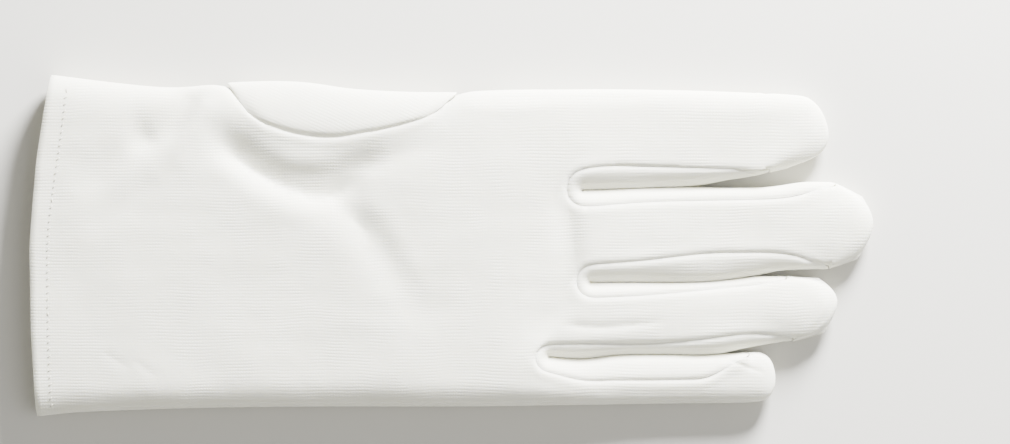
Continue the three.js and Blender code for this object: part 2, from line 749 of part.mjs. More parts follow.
// The set-in thumb: it leaves the hole over the index side, turns under the hand and lies flat there.
function thumbSheet() {
  const sheet = newSheet();
  const high = THUMB_HEIGHT - EDGE;
  const mid = THUMB_HEIGHT / 2;
  const first = thumbSides(0);
  const inset = 2.0;
  const across = (sides, share) => {
    const width = Math.hypot(sides.left.x - sides.right.x, sides.left.y - sides.right.y);
    const t = mix(inset / width, 1 - inset / width, share);
    return { x: mix(sides.left.x, sides.right.x, t), y: mix(sides.left.y, sides.right.y, t) };
  };
  const columns = [];
  for (let c = 0; c <= THUMB_COLUMNS; c += 1) {
    const share = c / THUMB_COLUMNS;
    const x = mix(HOLE_START + 0.9, HOLE_END - 1.3, share);
    const edgeY = indexSideY(x);
    const slope = (readTable(THUMB_HOLE, "along", "depth", alongOf(x + 1)) -
      readTable(THUMB_HOLE, "along", "depth", alongOf(x - 1))) * WIDTH / 2;
    const hole = yAt(readTable(THUMB_HOLE, "along", "depth", alongOf(x)));
    const depth = Math.max(hole - GAP * 1.2 * Math.hypot(1, slope), 0.9);
    const landing = across(first, share);
    const column = [];
    for (let r = 0; r < THUMB_TOP_ROWS; r += 1) {
      const inward = mix(depth, Math.min(depth, depthAtAngle(0.5, x)), r / (THUMB_TOP_ROWS - 1));
      column.push({ x, y: edgeY - inward, z: heightAt(x, edgeY - inward, angleAtDepth(inward, x)) });
    }
    column.push({ x, y: edgeY - EDGE, z: middleHeight(x) });
    THUMB_ROLL_ANGLES.forEach((degrees, i) => {
      const angle = (degrees / 180) * Math.PI;
      const share2 = 1 - Math.cos(angle);
      const z = middleHeight(x) - (middleHeight(x) - EDGE) * Math.sin(angle);
      column.push({ x: mix(x, landing.x, share2), y: mix(edgeY - EDGE, landing.y, share2), z });
    });
    columns.push(column);
  }
  const rows = columns[0].map((_, r) => columns.map((column) => column[r]));
  addGrid(sheet, rows, true);
  // The flattened tube under the hand, with a lower and an upper wall that meet at both sides.
  const loops = [];
  const loopAt = (left, right) => {
    const width = Math.hypot(left.x - right.x, left.y - right.y);
    const at = (t, z) => ({ x: mix(left.x, right.x, t), y: mix(left.y, right.y, t), z });
    const loop = [];
    for (let c = 0; c <= THUMB_COLUMNS; c += 1) {
      loop.push(at(mix(inset / width, 1 - inset / width, c / THUMB_COLUMNS), EDGE));
    }
    loop.push(at(1 - EDGE / width, mid));
    for (let c = THUMB_COLUMNS; c >= 0; c -= 1) {
      loop.push(at(mix(inset / width, 1 - inset / width, c / THUMB_COLUMNS), high));
    }
    loop.push(at(EDGE / width, mid));
    loop.push(loop[0]);
    return loop;
  };
  for (let r = 0; r <= THUMB_FLAT_ROWS; r += 1) {
    const sides = thumbSides(r / THUMB_FLAT_ROWS);
    loops.push(loopAt(sides.left, sides.right));
  }
  for (const step of THUMB_TIP_STEPS) {
    const turn = step * BEND;
    const out = Math.sin(turn) * (thumbEndRadius - inset);
    const half = Math.cos(turn) * (thumbEndRadius - inset) + inset;
    const at = (side) => ({
      x: thumbEndCentre.x + thumbDirection.x * out - side * thumbDirection.y * half,
      y: thumbEndCentre.y + thumbDirection.y * out + side * thumbDirection.x * half,
    });
    loops.push(loopAt(at(-1), at(1)));
  }
  addGrid(sheet, loops, true);
  // The end of the tube: both walls meet in one outer row.
  const lastLoop = loops[loops.length - 1];
  const lower = lastLoop.slice(0, THUMB_COLUMNS + 1);
  const upper = lastLoop.slice(THUMB_COLUMNS + 2, 2 * THUMB_COLUMNS + 3).reverse();
  const outer = lower.map((p, c) => {
    if (c === 0) return lastLoop[2 * THUMB_COLUMNS + 3];
    if (c === THUMB_COLUMNS) return lastLoop[THUMB_COLUMNS + 1];
    const push = inset - EDGE;
    return { x: p.x + thumbDirection.x * push, y: p.y + thumbDirection.y * push, z: mid };
  });
  addGrid(sheet, [lower, outer, upper], true);
  return sheet;
}

// The cloth turned in at the wrist edge: a band that follows the inner side of the mouth.
function hemSheet() {
  const sheet = newSheet();
  const inset = EDGE + GAP + HEM_WALL / 2 + HEM_EASE;
  const flat = 9;
  const rolled = 4;
  const rows = [0, 0.5, 1].map((step) => {
    const forward = 0.25 + step * HEM_DEPTH;
    const low = { x: cuffX(-54) + forward };
    const high = { x: cuffX(55) + forward };
    low.y = littleSideY(low.x);
    high.y = indexSideY(high.x);
    const round = HAND_ROUND - EDGE - inset;
    const loop = [];
    const rollPoint = (edge, side, angle) => {
      const depth = HAND_ROUND - round * Math.cos(angle);
      const y = edge.y - side * depth;
      const x = cuffX(y) + forward;
      const middle = middleHeight(x);
      return { x, y, z: middle + (middle - EDGE - inset) * Math.sin(angle) };
    };
    for (let i = 0; i <= 2 * rolled; i += 1) {
      loop.push(rollPoint(high, 1, mix(BEND, -BEND, i / (2 * rolled))));
    }
    for (let i = 1; i < flat; i += 1) {
      const y = mix(high.y - HAND_ROUND, low.y + HAND_ROUND, i / flat);
      const x = cuffX(y) + forward;
      loop.push({ x, y, z: EDGE + inset });
    }
    for (let i = 0; i <= 2 * rolled; i += 1) {
      loop.push(rollPoint(low, -1, mix(-BEND, BEND, i / (2 * rolled))));
    }
    for (let i = 1; i < flat; i += 1) {
      const y = mix(low.y + HAND_ROUND, high.y - HAND_ROUND, i / flat);
      const x = cuffX(y) + forward;
      loop.push({ x, y, z: topHeight(x) - inset });
    }
    loop.push(loop[0]);
    return loop;
  });
  addGrid(sheet, rows, false);
  return sheet;
}

const wasm = await Module();
wasm.setup();

function solidOf(body) {
  return new wasm.Manifold(
    new wasm.Mesh({
      numProp: 3,
      vertProperties: new Float32Array(body.position),
      triVerts: new Uint32Array(body.index),
    }),
  );
}

function meshOf(name, solid, colour) {
  const pieces = solid.decompose();
  pieces.sort((a, b) => b.volume() - a.volume());
  const data = pieces[0].getMesh();
  const geometry = new THREE.BufferGeometry();
  geometry.setAttribute("position", new THREE.BufferAttribute(new Float32Array(data.vertProperties), 3));
  geometry.setIndex(new THREE.BufferAttribute(new Uint32Array(data.triVerts), 1));
  geometry.computeVertexNormals();
  const mesh = new THREE.Mesh(
    geometry,
    new THREE.MeshStandardMaterial({ name, color: colour, roughness: 0.92, metalness: 0 }),
  );
  mesh.name = name;
  return mesh;
}

const WHITE = 0xedede6;
const palm = panelSheet(1);
const back = panelSheet(-1);
const glove = new THREE.Group();
glove.name = "parade_glove";
const [little, ring, middle, index] = fingers;
const clearance = WALL + 3 * GAP;
const thumbSolid = solidOf(thicken(thumbSheet(), WALL))
  .subtract(solidOf(thicken(palm, clearance)))
  .subtract(solidOf(thicken(back, clearance)));

glove.add(
  meshOf("palm_panel", solidOf(thicken(palm, WALL)), WHITE),
  meshOf("back_panel", solidOf(thicken(back, WALL)), WHITE),
  meshOf("fourchette_index_middle", solidOf(thicken(fourchetteSheet(index, middle), WALL)), WHITE),
  meshOf("fourchette_middle_ring", solidOf(thicken(fourchetteSheet(middle, ring), WALL)), WHITE),
  meshOf("fourchette_ring_little", solidOf(thicken(fourchetteSheet(ring, little), WALL)), WHITE),
  meshOf("thumb", thumbSolid, WHITE),
  meshOf("cuff_hem", solidOf(thicken(hemSheet(), HEM_WALL)), WHITE),
);

// The origin is on the floor under the middle of the glove's outline.
const box = new THREE.Box3().setFromObject(glove);
glove.position.set(-(box.min.x + box.max.x) / 2, -(box.min.y + box.max.y) / 2, -box.min.z);

export default glove;
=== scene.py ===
import math
from collections import namedtuple

import bmesh
import bpy
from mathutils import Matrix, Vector, noise
from mathutils.bvhtree import BVHTree
from mathutils.geometry import interpolate_bezier
from mathutils.kdtree import KDTree


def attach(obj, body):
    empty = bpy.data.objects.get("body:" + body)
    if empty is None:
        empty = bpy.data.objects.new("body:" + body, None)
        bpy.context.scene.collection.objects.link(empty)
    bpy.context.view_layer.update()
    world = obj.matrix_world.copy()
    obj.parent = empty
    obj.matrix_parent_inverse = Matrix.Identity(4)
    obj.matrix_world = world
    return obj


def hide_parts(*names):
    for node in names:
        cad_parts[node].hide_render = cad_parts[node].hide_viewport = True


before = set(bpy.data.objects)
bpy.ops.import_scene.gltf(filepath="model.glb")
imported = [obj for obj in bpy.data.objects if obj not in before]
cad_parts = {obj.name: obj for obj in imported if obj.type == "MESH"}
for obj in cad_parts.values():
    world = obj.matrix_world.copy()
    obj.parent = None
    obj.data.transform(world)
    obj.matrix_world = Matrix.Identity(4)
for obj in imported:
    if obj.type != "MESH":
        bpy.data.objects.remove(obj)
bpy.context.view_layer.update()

# The trank: palm, back and finger faces of bleached white cotton interlock, cut as one cloth. It is
# folded along the index side, and sewn up along the little-finger side and round the fingertips.
# Its wales run from the wrist to the fingertips, each a column of small V-shaped loops.
MM = 0.001
WALE_WIDTH = 1.02 * MM
LOOP_LENGTH = 0.9 * MM
WALE_WANDER = 2.6 * MM
LOOP_RELIEF = 0.11 * MM
COTTON = (0.88, 0.87, 0.75, 1.0)
# The darker cotton colour is the painted shade in the knit's furrows, and also the darker tone of broad
# random patches.
COTTON_PAINTED_SHADE_AND_PATCHES = (0.70, 0.69, 0.57, 1.0)
COTTON_FINISH = {
    "Subsurface Weight": 0.45,
    "Subsurface Radius": (1.0, 0.98, 0.80),
    "Subsurface Scale": 2.0 * MM,
    "Roughness": 0.92,
    "Specular IOR Level": 0.15,
    "Sheen Weight": 0.2,
    "Sheen Roughness": 0.6,
}


def node_of(tree, kind, inputs=None, **settings):
    node = tree.nodes.new(kind)
    for name, value in settings.items():
        setattr(node, name, value)
    for key, value in (inputs or {}).items():
        if isinstance(value, bpy.types.NodeSocket):
            tree.links.new(value, node.inputs[key])
        else:
            node.inputs[key].default_value = value
    return node


def math_node(tree, operation, a, b=0.0, c=0.0):
    return node_of(tree, "ShaderNodeMath", {0: a, 1: b, 2: c}, operation=operation).outputs[0]


def vector_node(tree, operation, a, b, c=(0.0, 0.0, 0.0)):
    return node_of(tree, "ShaderNodeVectorMath", {0: a, 1: b, 2: c}, operation=operation).outputs[0]


def noise_node(tree, place, scale, detail):
    return node_of(tree, "ShaderNodeTexNoise", {"Vector": place, "Scale": scale, "Detail": detail})


def knit_material(name, turn=0.0, bump=1.0):
    """White cotton knit whose wales run along X, or turned by that angle about Z."""
    material = bpy.data.materials.new(name)
    material.use_nodes = True
    tree = material.node_tree
    shader = tree.nodes["Principled BSDF"]
    place = node_of(tree, "ShaderNodeTexCoord").outputs["Object"]

    # The wales wander a little, as they do on cloth that was cut and sewn.
    drift = noise_node(tree, place, scale=40.0, detail=2.0)
    centred = vector_node(tree, "SUBTRACT", drift.outputs["Color"], (0.5, 0.5, 0.5))
    moved = vector_node(tree, "MULTIPLY_ADD", centred, (WALE_WANDER, WALE_WANDER, 0.0), place)
    turned = node_of(
        tree, "ShaderNodeMapping", {"Vector": moved, "Rotation": (0.0, 0.0, turn)},
    ).outputs[0]
    axes = node_of(tree, "ShaderNodeSeparateXYZ", {0: turned})
    across = math_node(tree, "MULTIPLY", axes.outputs["Y"], 1.0 / WALE_WIDTH)
    along = math_node(tree, "MULTIPLY", axes.outputs["X"], 1.0 / LOOP_LENGTH)

    # Each wale is crowned, and its loops slant from its middle to both sides.
    in_wale = math_node(tree, "FRACT", across)
    side = math_node(tree, "ABSOLUTE", math_node(tree, "SUBTRACT", in_wale, 0.5))
    side = math_node(tree, "MULTIPLY", side, 2.0)
    crown = math_node(tree, "SUBTRACT", 1.0, math_node(tree, "POWER", side, 2.4))
    slant = math_node(tree, "MULTIPLY_ADD", side, 0.55, along)
    loop = math_node(tree, "SINE", math_node(tree, "MULTIPLY", slant, 2.0 * math.pi))
    loop = math_node(tree, "MULTIPLY_ADD", loop, 0.16, 0.84)
    stitch = math_node(tree, "MULTIPLY", crown, loop)

    # The loops are pressed flat in patches, and fuzz lies over all of them.
    patches = noise_node(tree, place, scale=130.0, detail=2.0)
    lift = math_node(tree, "MULTIPLY_ADD", patches.outputs["Fac"], 2.4, -0.75)
    lift = node_of(tree, "ShaderNodeClamp", {0: lift, 1: 0.15, 2: 1.0}).outputs[0]
    fuzz = noise_node(tree, place, scale=2600.0, detail=3.0)
    raised = math_node(tree, "MULTIPLY", stitch, lift)
    height = math_node(tree, "MULTIPLY_ADD", fuzz.outputs["Fac"], 0.25, raised)

    # The furrows between the loops are painted a little darker, as painted shade in the hollows of the
    # knit, and broad patches of the cloth are a little darker in tone at random.
    broad = noise_node(tree, place, scale=55.0, detail=3.0)
    shade = math_node(tree, "MULTIPLY_ADD", broad.outputs["Fac"], 0.5, -0.25)
    light = math_node(tree, "MULTIPLY_ADD", raised, 0.26, 0.74)
    light = math_node(tree, "ADD", light, shade)
    colour = node_of(tree, "ShaderNodeMix", {"Factor": light}, data_type="RGBA", clamp_factor=True)
    for socket in colour.inputs:
        if socket.type == "RGBA":
            socket.default_value = COTTON_PAINTED_SHADE_AND_PATCHES if socket.name == "A" else COTTON
    tree.links.new(colour.outputs[2], shader.inputs["Base Color"])

    relief = node_of(
        tree, "ShaderNodeBump", {"Height": height, "Distance": LOOP_RELIEF * bump, "Strength": 0.8},
    )
    tree.links.new(relief.outputs[0], shader.inputs["Normal"])
    for socket_name, value in COTTON_FINISH.items():
        shader.inputs[socket_name].default_value = value
    return material


WALL = 1.2 * MM
WALL_PLAY = 0.002 * MM
WELD = 0.02 * MM
SEAM_REACH = 1.1 * MM
SEAM_WELD = 0.005 * MM
MOUTH_TO_X = -124 * MM
MOUTH_CREASE = 0.6
FOLD_FROM_Y = 38 * MM
FOLD_TO_X = 100 * MM


def merged_copy(node, wall=WALL):
    """A node's solid with shared corners and four-sided faces, and its cut edges noted as rim."""
    shape = bmesh.new()
    shape.from_mesh(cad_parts[node].data)
    bmesh.ops.remove_doubles(shape, verts=shape.verts, dist=WELD)
    for name in ("seam", "outer"):
        shape.verts.layers.float.new(name)
    crease = shape.edges.layers.float.new("crease_edge")
    rim = shape.faces.layers.int.new("rim")
    across = {edge for edge in shape.edges if abs(edge.calc_length() - wall) < WALL_PLAY}
    for face in shape.faces:
        face[rim] = int(any(edge in across for edge in face.edges))
    for edge in shape.edges:
        sides = {face[rim] for face in edge.link_faces}
        if sides == {0, 1}:
            edge[crease] = 1.0
    rim_faces, skin_faces = ([face for face in shape.faces if face[rim] == kind] for kind in (1, 0))
    for faces in (rim_faces, skin_faces):
        bmesh.ops.join_triangles(
            shape, faces=faces, angle_face_threshold=math.pi, angle_shape_threshold=math.pi,
        )
    return shape


def faces_of_rim(shape):
    rim = shape.faces.layers.int["rim"]
    return [face for face in shape.faces if face[rim]]


def corners_of_rim(shape):
    rim = shape.faces.layers.int["rim"]
    return [corner for corner in shape.verts if any(face[rim] for face in corner.link_faces)]


def mark_outer(shape):
    """Marks the corners of the skin that faces out, the larger of the two that the cut edges part."""
    skins, seen = [], set(faces_of_rim(shape))
    for start in shape.faces:
        if start in seen:
            continue
        skin, waiting = [], [start]
        seen.add(start)
        while waiting:
            face = waiting.pop()
            skin.append(face)
            for edge in face.edges:
                for near in edge.link_faces:
                    if near not in seen:
                        seen.add(near)
                        waiting.append(near)
        skins.append(skin)
    skins.sort(key=lambda skin: sum(face.calc_area() for face in skin))
    outer = shape.verts.layers.float["outer"]
    for face in skins[-1]:
        for corner in face.verts:
            corner[outer] = 1.0


def tree_of(places):
    tree = KDTree(len(places))
    for number, place in enumerate(places):
        tree.insert(place, number)
    tree.balance()
    return tree


def spot(face):
    """Where a face lies, to a thousandth of a millimetre, so that two faces can be paired."""
    return tuple(sorted(tuple(round(c * 1e6) for c in corner.co) for corner in face.verts))


def set_creases(shape, is_sewn):
    """Sharp along what is sewn, and soft along the rim of the mouth."""
    crease = shape.edges.layers.float["crease_edge"]
    seam = shape.verts.layers.float["seam"]
    for edge in shape.edges:
        if edge[crease] and all(is_sewn(corner.co) for corner in edge.verts):
            for corner in edge.verts:
                corner[seam] = 1.0
        elif edge[crease]:
            edge[crease] = MOUTH_CREASE


# The palm and the back meet face to face along the fold and the seams, and these faces go.
trank_shape = merged_copy("palm_panel")
back_half = merged_copy("back_panel")
palm_tree = tree_of([corner.co.copy() for corner in corners_of_rim(trank_shape)])
for corner in corners_of_rim(back_half):
    place, _, distance = palm_tree.find(corner.co)
    if distance < SEAM_REACH:
        corner.co = place
paired = {spot(face) for face in faces_of_rim(trank_shape)}
paired &= {spot(face) for face in faces_of_rim(back_half)}
for half in (trank_shape, back_half):
    crease = half.edges.layers.float["crease_edge"]
    inside = [face for face in faces_of_rim(half) if spot(face) in paired]
    for face in inside:
        middle = face.calc_center_median()
        if middle.y > FOLD_FROM_Y and middle.x < FOLD_TO_X:
            for edge in face.edges:
                edge[crease] = 0.0
    bmesh.ops.delete(half, geom=inside, context="FACES_ONLY")
back_mesh = bpy.data.meshes.new("back_half")
back_half.to_mesh(back_mesh)
back_half.free()
trank_shape.from_mesh(back_mesh)
bpy.data.meshes.remove(back_mesh)
bmesh.ops.remove_doubles(trank_shape, verts=trank_shape.verts, dist=SEAM_WELD)
lonely = [edge for edge in trank_shape.edges if not edge.link_faces]
bmesh.ops.delete(trank_shape, geom=lonely, context="EDGES")
set_creases(trank_shape, lambda place: place.x > MOUTH_TO_X)
mark_outer(trank_shape)

# What the other cloths are sewn to: corners, each with whether its skin faces out, and edges.
crease = trank_shape.edges.layers.float["crease_edge"]
seam = trank_shape.verts.layers.float["seam"]
outer = trank_shape.verts.layers.float["outer"]
trank_corners = [
    (corner.co.copy(), corner[outer] > 0.5) for corner in trank_shape.verts if corner[seam] > 0.5
]
trank_seams = [
    tuple(corner.co.copy() for corner in edge.verts)
    for edge in trank_shape.edges if edge[crease] > 0.9
]

# Rounding draws the tips' sewn outline in, so its corners are first pushed out by as much.
TIPS_FROM_X = 70 * MM
TIP_PUSH = 0.30
SHARPEST_PUSHED = math.radians(100)
ROUND_LEVELS = 2
# A crease or a mark at least this strong is a whole one, which rounding hasn't thinned out.
WHOLE = 0.99


def rounded(shape, name):
    """The cloth with its corners rounded off, as a finer mesh to work on."""
    mesh = bpy.data.meshes.new(name)
    shape.to_mesh(mesh)
    shape.free()
    holder = bpy.data.objects.new(name, mesh)
    bpy.context.scene.collection.objects.link(holder)
    smooth = holder.modifiers.new("round", "SUBSURF")
    smooth.levels = ROUND_LEVELS
    smooth.render_levels = ROUND_LEVELS
    fine = bmesh.new()
    fine.from_object(holder, bpy.context.evaluated_depsgraph_get())
    bpy.data.objects.remove(holder)
    bpy.data.meshes.remove(mesh)
    return fine


def new_piece(name, material):
    """A piece of the glove whose mesh is filled in later, when its shape is ready."""
    mesh = bpy.data.meshes.new(name)
    mesh.materials.append(material)
    piece = bpy.data.objects.new(name, mesh)
    bpy.context.scene.collection.objects.link(piece)
    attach(piece, "root")
    return piece


def fill_piece(piece, shape):
    shape.to_mesh(piece.data)
    shape.free()
    piece.data.shade_smooth()


pushes = []
for corner in trank_shape.verts:
    sewn = [edge for edge in corner.link_edges if edge[crease] > WHOLE]
    if corner.co.x > TIPS_FROM_X and len(sewn) == 2 and all(len(edge.link_faces) == 2 for edge in sewn):
        before, after = (edge.other_vert(corner).co for edge in sewn)
        push = (corner.co - (before + after) / 2) * TIP_PUSH
        if (before - corner.co).angle(after - corner.co) > SHARPEST_PUSHED:
            pushes.append((corner, Vector((push.x, push.y, 0.0))))
for corner, push in pushes:
    corner.co += push

# Each cloth's name, with its piece and the shape that is worked on until the glove is sewn up.
knit = knit_material("cotton_knit")
pieces = {"trank": new_piece("trank", knit)}
cloths = {"trank": rounded(trank_shape, "trank_rounding")}
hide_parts("palm_panel", "back_panel")

# The fourchettes: three long strips of the same knit that form the facing sides of the fingers.
# Each is sewn in from one fingertip round the crotch to the next fingertip. The gaps between the
# fingers lean up-page by GAP_SLOPE towards the tips.
STRIPS = ("fourchette_index_middle", "fourchette_middle_ring", "fourchette_ring_little")
STRIP_REACH = 2.0 * MM
ROW_STRETCH = 2.5
LAST_ROW = 1 * MM
END_REACH = 2.8 * MM
END_DEPTH = 1.2 * MM
END_PLAY = 1.3 * MM
GAP_SLOPE = 0.035


def row_place(place):
    """A place with its way along the hand drawn out, so that the nearest corner is one across."""
    return Vector((place.x * ROW_STRETCH, place.y, place.z))


def strip_arms(shape):
    """The corners of a strip on each side of its crotch, up-page first."""
    crotch = min(corner.co.x for corner in shape.verts)
    middle = [corner.co.y for corner in shape.verts if corner.co.x < crotch + LAST_ROW]
    middle = sum(middle) / len(middle)
    arms = [], []
    for corner in shape.verts:
        gap = middle + GAP_SLOPE * (corner.co.x - crotch)
        arms[0 if corner.co.y > gap else 1].append(corner)
    return arms


def strip_ends(shape):
    """The two places where a strip runs out near the fingertips."""
    ends = []
    for arm in strip_arms(shape):
        far = max(corner.co.x for corner in arm)
        last = [corner.co for corner in arm if corner.co.x > far - LAST_ROW]
        ends.append(sum(last, Vector((0.0, 0.0, 0.0))) / len(last))
    return ends


def across_the_wall(place, places):
    """The place that lies one wall away, on the cloth's other skin."""
    return min(places, key=lambda other: abs((other - place).length - WALL))


def end_places(shape):
    """Where the top and bottom corners of a strip's ends belong on the trank's seams."""
    found = {}
    for arm in strip_arms(shape):
        far = max(corner.co.x for corner in arm)
        last = {tuple(corner.co): corner for corner in arm if corner.co.x > far - END_DEPTH}
        places = [corner.co.copy() for corner in last.values()]
        for pick in (max, min):
            own = pick(places, key=lambda place: place.z)
            hole = [
                place for place, _ in trank_corners
                if (place - own).length < END_REACH and abs(place.x - own.x) < END_PLAY
            ]
            if len(hole) < 2:
                continue
            aim = pick(hole, key=lambda place: place.z)
            found[last[tuple(own)]] = aim
            found[last[tuple(across_the_wall(own, places))]] = across_the_wall(aim, hole)
    return found


skin_places = {
    facing_out: [place for place, faces_out in trank_corners if faces_out == facing_out]
    for facing_out in (True, False)
}
skin_trees = {
    facing_out: tree_of([row_place(place) for place in places])
    for facing_out, places in skin_places.items()
}
for strip in STRIPS:
    shape = merged_copy(strip)
    mark_outer(shape)
    outer = shape.verts.layers.float["outer"]
    own_places = end_places(shape)
    for corner in corners_of_rim(shape):
        facing_out = corner[outer] > 0.5
        _, number, distance = skin_trees[facing_out].find(row_place(corner.co))
        if corner not in own_places and distance < STRIP_REACH:
            own_places[corner] = skin_places[facing_out][number]
    for corner, place in own_places.items():
        corner.co = place
    set_creases(shape, lambda place: True)
    cloths[strip] = rounded(shape, strip + "_rounding")
    pieces[strip] = new_piece(strip + "_cloth", knit)
    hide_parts(strip)

# The thumb: a knit piece of its own, sewn into the oval hole of the palm. It is folded flat under
# the hand, so that only its base shows, and its wales run askew to the palm's.
THUMB_REACH = 1.25 * MM
THUMB_WELD = 0.15 * MM
THUMB_WALE_TURN = math.radians(25)
LONGEST_EDGE = 12 * MM
ON_SEAM = 0.12 * MM


def nearest_on_seams(place, reach):
    """The nearest place on the trank's sewn edges, or None where none is near."""
    best, best_distance = None, reach
    for start, end in trank_seams:
        if (start - place).length > LONGEST_EDGE:
            continue
        along = end - start
        share = max(0.0, min(1.0, (place - start).dot(along) / along.length_squared))
        distance = (start + along * share - place).length
        if distance < best_distance:
            best, best_distance = start + along * share, distance
    return best


thumb_shape = merged_copy("thumb")
crease = thumb_shape.edges.layers.float["crease_edge"]
seam = thumb_shape.verts.layers.float["seam"]
outer = thumb_shape.verts.layers.float["outer"]
for edge in thumb_shape.edges:
    edge[crease] = 0.0
for corner in thumb_shape.verts:
    corner[outer] = 1.0
    place = nearest_on_seams(corner.co, THUMB_REACH)
    if place is not None:
        corner.co = place
        corner[seam] = 1.0
bmesh.ops.remove_doubles(thumb_shape, verts=thumb_shape.verts, dist=THUMB_WELD)
for edge in thumb_shape.edges:
    start, end = edge.verts
    on_seam = nearest_on_seams((start.co + end.co) / 2, ON_SEAM) is not None
    if start[seam] > 0.5 and end[seam] > 0.5 and on_seam:
        edge[crease] = 1.0
cloths["thumb"] = rounded(thumb_shape, "thumb_rounding")
thumb_knit = knit_material("cotton_knit_thumb", turn=THUMB_WALE_TURN, bump=0.7)
pieces["thumb"] = new_piece("thumb_cloth", thumb_knit)
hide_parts("thumb")

# The hem: the trank's own cloth, turned in once at the wrist edge and sewn down. What is seen of it
# here is the turned-in band, which lies against the inside of the wrist.
HEM_WALL = 1.0 * MM
hem_shape = merged_copy("cuff_hem", HEM_WALL)
set_creases(hem_shape, lambda place: False)
cloths["cuff_hem"] = rounded(hem_shape, "cuff_hem_rounding")
pieces["cuff_hem"] = new_piece("cuff_hem_cloth", knit)
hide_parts("cuff_hem")

# The lie of all the sewn cloths. Sewing pulls the cloth down along each seam, so it lies in a narrow
# valley between soft swells, with small puckers across it. The facing sides of the fingers swell
# until they nearly touch, and the loose palm has folds from packing.
SEAM_DEPTH = 0.45 * MM
SEAM_WIDTH = 0.6 * MM
SWELL = 0.12 * MM
SWELL_FROM_SEAM = 1.9 * MM
SWELL_WIDTH = 1.1 * MM
PUCKER = 0.10 * MM
PUCKER_STEP = 1.6 * MM
PUCKER_REACH = 2.2 * MM
# Seams are shallow where a strip runs out, as a share of their depth, and deepen over a distance.
DEPTH_AT_ENDS = 0.12
DEPTH_FADE_FROM = 3 * MM
DEPTH_FADE_OVER = 9 * MM
# The palm is what lies above these heights, where folds and unevenness set in.
PALM_FROM_Z = 4.5 * MM
PALM_TO_Z = 7.5 * MM
FADE_IN = 0.22
FADE_OUT = 0.30
# Lengths in millimetres. A fold's slopes reach that far to the left and to the right of its way, and
# a depth of less than nothing makes a ridge.
Fold = namedtuple("Fold", "depth left right way")
FOLDS = (
    # The crease under the thumb's seam: its valley, the slack round it, its crisp line, and a ridge.
    Fold(1.70, 5.8, 2.8, ((-76, 41), (-74, 34), (-70, 28.5), (-65, 25), (-58, 21), (-52, 18.2),
                          (-45, 16), (-39.5, 16), (-34, 18.5), (-28, 24), (-20, 28), (-3, 33))),
    Fold(0.90, 11.0, 6.0, ((-76, 41), (-70, 28.5), (-58, 21), (-45, 16.5), (-30, 20), (-12, 30))),
    Fold(0.65, 1.9, 1.0, ((-72, 30.5), (-65, 24.6), (-58, 20.6), (-52, 17.8), (-45, 15.6),
                          (-39.5, 15.6), (-34, 18))),
    Fold(-0.50, 3.5, 4.5, ((-78, 29), (-66, 19.5), (-54, 12.5), (-42, 10))),
    # Its branch into the palm, with a crisp line and a ridge of its own.
    Fold(0.95, 6.0, 5.0, ((-43, 17.5), (-36, 13), (-30, 7), (-25, 0), (-19, -8), (-8, -25))),
    Fold(0.35, 1.8, 1.4, ((-40, 15.8), (-35, 11.8), (-30, 6.4), (-26, 0))),
    Fold(-0.45, 4.0, 5.0, ((-30, 17), (-22, 8), (-14, -6), (-6, -16))),
    # The slack on the thumb's side of the cuff.
    Fold(1.70, 3.2, 8.5, ((-80, 52), (-84, 44), (-89, 37), (-97, 33), (-104, 31))),
    Fold(0.30, 1.6, 2.4, ((-82, 48), (-86, 41), (-91, 34))),
    Fold(0.80, 4.0, 6.0, ((-94, 36), (-106, 27), (-118, 15))),
    Fold(0.45, 3.0, 5.0, ((-92, 22), (-106, 12), (-116, 2))),
    Fold(-0.55, 3.0, 4.0, ((-76, 47), (-84, 36), (-89, 22))),
    # The hollow across the roots of the fingers, and the line along the index side.
    Fold(0.85, 4.5, 4.0, ((33, 24), (36, -4), (33, -20), (22, -30))),
    Fold(0.25, 1.3, 1.3, ((12, 47), (40, 46.6), (66, 47))),
    Fold(-0.20, 1.6, 1.6, ((0, 45), (11, 43), (21, 43), (44, 46))),
    # Small folds: at the ring finger's root, by the little-finger side and at the ring finger's tip.
    Fold(0.50, 1.6, 0.8, ((33, -25), (44, -26), (55, -25.5), (68, -24))),
    Fold(0.16, 1.0, 1.0, ((-111, -33), (-102, -39))),
    Fold(0.16, 1.0, 1.0, ((-101, -36), (-93, -42))),
    Fold(0.30, 0.6, 0.6, ((121, -17), (118, -22), (111, -28.5))),
    # The groove that the hem's stitches pull, and a small fold at the little finger's tip.
    Fold(0.16, 0.8, 0.8, ((-121, 53), (-123, 41), (-125, 26), (-127, 12), (-128, 0), (-128, -20),
                          (-127, -52))),
    Fold(0.30, 0.6, 0.6, ((82, -34.5), (90, -37.5), (94, -39), (99, -40.5))),
)


def curve_through(points, steps=16):
    """Places along a smooth curve through some points on the floor plane."""
    stops = [Vector((x * MM, y * MM, 0.0)) for x, y in points]
    places = []
    for number in range(len(stops) - 1):
        start, end = stops[number], stops[number + 1]
        before, after = stops[max(number - 1, 0)], stops[min(number + 2, len(stops) - 1)]
        out, back_in = start + (end - before) / 6, end - (after - start) / 6
        places += interpolate_bezier(start, out, back_in, end, steps)[:-1]
    return places + [stops[-1]]


def smooth_share(value):
    value = max(0.0, min(1.0, value))
    return value * value * (3.0 - 2.0 * value)


fold_ways = [curve_through(fold.way) for fold in FOLDS]
fold_trees = [tree_of(way) for way in fold_ways]


def fold_shift(place):
    """How far the folds lift the palm at a place."""
    flat, shift = Vector((place.x, place.y, 0.0)), 0.0
    for fold, way, tree in zip(FOLDS, fold_ways, fold_trees):
        near, number, distance = tree.find(flat)
        if distance > 3.0 * max(fold.left, fold.right) * MM:
            continue
        ahead = way[min(number + 1, len(way) - 1)] - way[max(number - 1, 0)]
        reach = (fold.left if ahead.cross(flat - near).z > 0.0 else fold.right) * MM
        share = number / (len(way) - 1)
        fade = smooth_share(share / FADE_IN) * smooth_share((1.0 - share) / FADE_OUT)
        shift -= fold.depth * MM * fade * math.exp(-(distance / reach) ** 2)
    return shift


